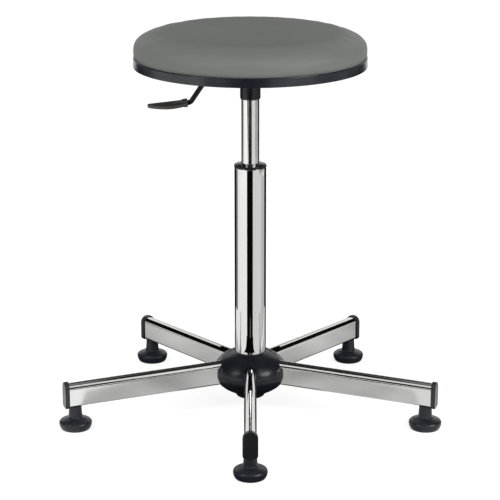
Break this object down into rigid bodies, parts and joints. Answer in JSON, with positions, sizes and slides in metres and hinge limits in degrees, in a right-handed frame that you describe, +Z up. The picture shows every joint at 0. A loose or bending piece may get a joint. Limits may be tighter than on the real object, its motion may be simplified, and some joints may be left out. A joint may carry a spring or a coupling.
{
  "type": "laboratory stool",
  "caption": "Height-adjustable laboratory stool: round upholstered swivel seat on a gas-lift column with a chromed star base on swivelling glides.",
  "frame": {"origin": "on the floor under the middle of the outline's box; the column's axis stands 27.7 mm behind it (+Y)", "axes": "+Z up; -Y to the front, the way one arm points; the release lever is on the -X side"},
  "size_m": [0.6032, 0.5762, 0.619],
  "materials": {
    "chrome": "mirror-polished chromium plate",
    "black_plastic": "satin moulded black",
    "rim_plastic": "satin blue-black",
    "black_enamel": "semi-gloss black enamel",
    "zinc_steel": "bright zinc plate",
    "bearing_steel": "ground steel",
    "nylon": "natural nylon",
    "rubber": "matt black",
    "grey_vinyl": "fine-grained coated fabric, low sheen",
    "foam": "open-cell seat foam",
    "plywood": "bare birch plywood"
  },
  "bodies": {
    "base": {"column_tube": "chrome", "column_bush": "black_plastic", "lower_race": "bearing_steel", "hub_tube": "zinc_steel", "shroud_upper": "black_plastic", "shroud_lower": "black_plastic", "arm_1": "chrome", "arm_2": "chrome", "arm_3": "chrome", "arm_4": "chrome", "arm_5": "chrome", "arm_cap_1": "black_plastic", "arm_cap_2": "black_plastic", "arm_cap_3": "black_plastic", "arm_cap_4": "black_plastic", "arm_cap_5": "black_plastic", "glide_socket_1": "nylon", "glide_socket_2": "nylon", "glide_socket_3": "nylon", "glide_socket_4": "nylon", "glide_socket_5": "nylon"},
    "spindle": {"piston_rod": "chrome", "piston": "nylon", "upper_race": "bearing_steel", "bump_stop": "rubber", "spindle_washer": "zinc_steel", "spindle_clip": "zinc_steel"},
    "bearing": {"ball_cage": "bearing_steel"},
    "seat": {"gas_cylinder": "chrome", "socket_tube": "black_enamel", "lever_bracket": "black_enamel", "mount_plate": "black_enamel", "pivot_pin": "zinc_steel", "pivot_clip": "zinc_steel", "plate_bolt_1": "zinc_steel", "plate_bolt_2": "zinc_steel", "plate_bolt_3": "zinc_steel", "plate_bolt_4": "zinc_steel", "tee_nut_1": "zinc_steel", "tee_nut_2": "zinc_steel", "tee_nut_3": "zinc_steel", "tee_nut_4": "zinc_steel", "seat_pan": "rim_plastic", "seat_board": "plywood", "seat_foam": "foam", "seat_cover": "grey_vinyl"},
    "lever": {"lever_rod": "black_enamel", "lever_eye": "zinc_steel", "lever_paddle": "black_plastic"},
    "release": {"release_pin": "zinc_steel"},
    "glide_1": {"glide_foot_1": "black_plastic", "glide_stem_1": "zinc_steel"},
    "glide_2": {"glide_foot_2": "black_plastic", "glide_stem_2": "zinc_steel"},
    "glide_3": {"glide_foot_3": "black_plastic", "glide_stem_3": "zinc_steel"},
    "glide_4": {"glide_foot_4": "black_plastic", "glide_stem_4": "zinc_steel"},
    "glide_5": {"glide_foot_5": "black_plastic", "glide_stem_5": "zinc_steel"}
  },
  "joints": [
    {"name": "seat_swivel", "type": "hinge", "parent": "base", "child": "spindle", "pos_m": [0, 0.02769, 0.0357], "axis": [0, 0, 1], "continuous": true},
    {"name": "bearing_turn", "type": "hinge", "parent": "base", "child": "bearing", "pos_m": [0, 0.02769, 0.0311], "axis": [0, 0, 1], "continuous": true},
    {"name": "seat_height", "type": "slide", "parent": "spindle", "child": "seat", "axis": [0, 0, 1], "range_m": [-0.1, 0.095]},
    {"name": "lever_lift", "type": "hinge", "parent": "seat", "child": "lever", "pos_m": [-0.03, 0.02769, 0.5432], "axis": [0, 1, 0], "range_deg": [0, 5.5], "stiffness_Nm_per_rad": 3, "springref_deg": -2.86},
    {"name": "pin_press", "type": "slide", "parent": "seat", "child": "release", "axis": [0, 0, -1], "range_m": [0, 0.0031]},
    {"name": "glide_turn_1", "type": "hinge", "parent": "base", "child": "glide_1", "pos_m": [0, -0.26231, 0.03], "axis": [0, 0, 1], "continuous": true},
    {"name": "glide_turn_2", "type": "hinge", "parent": "base", "child": "glide_2", "pos_m": [0.27581, -0.06192, 0.03], "axis": [0, 0, 1], "continuous": true},
    {"name": "glide_turn_3", "type": "hinge", "parent": "base", "child": "glide_3", "pos_m": [0.17046, 0.26231, 0.03], "axis": [0, 0, 1], "continuous": true},
    {"name": "glide_turn_4", "type": "hinge", "parent": "base", "child": "glide_4", "pos_m": [-0.17046, 0.26231, 0.03], "axis": [0, 0, 1], "continuous": true},
    {"name": "glide_turn_5", "type": "hinge", "parent": "base", "child": "glide_5", "pos_m": [-0.27581, -0.06192, 0.03], "axis": [0, 0, 1], "continuous": true}
  ],
  "couplings": [
    {"joint": "bearing_turn", "follows": "seat_swivel", "ratio": 0.5},
    {"joint": "pin_press", "follows": "lever_lift", "m_per_rad": 0.031}
  ]
}
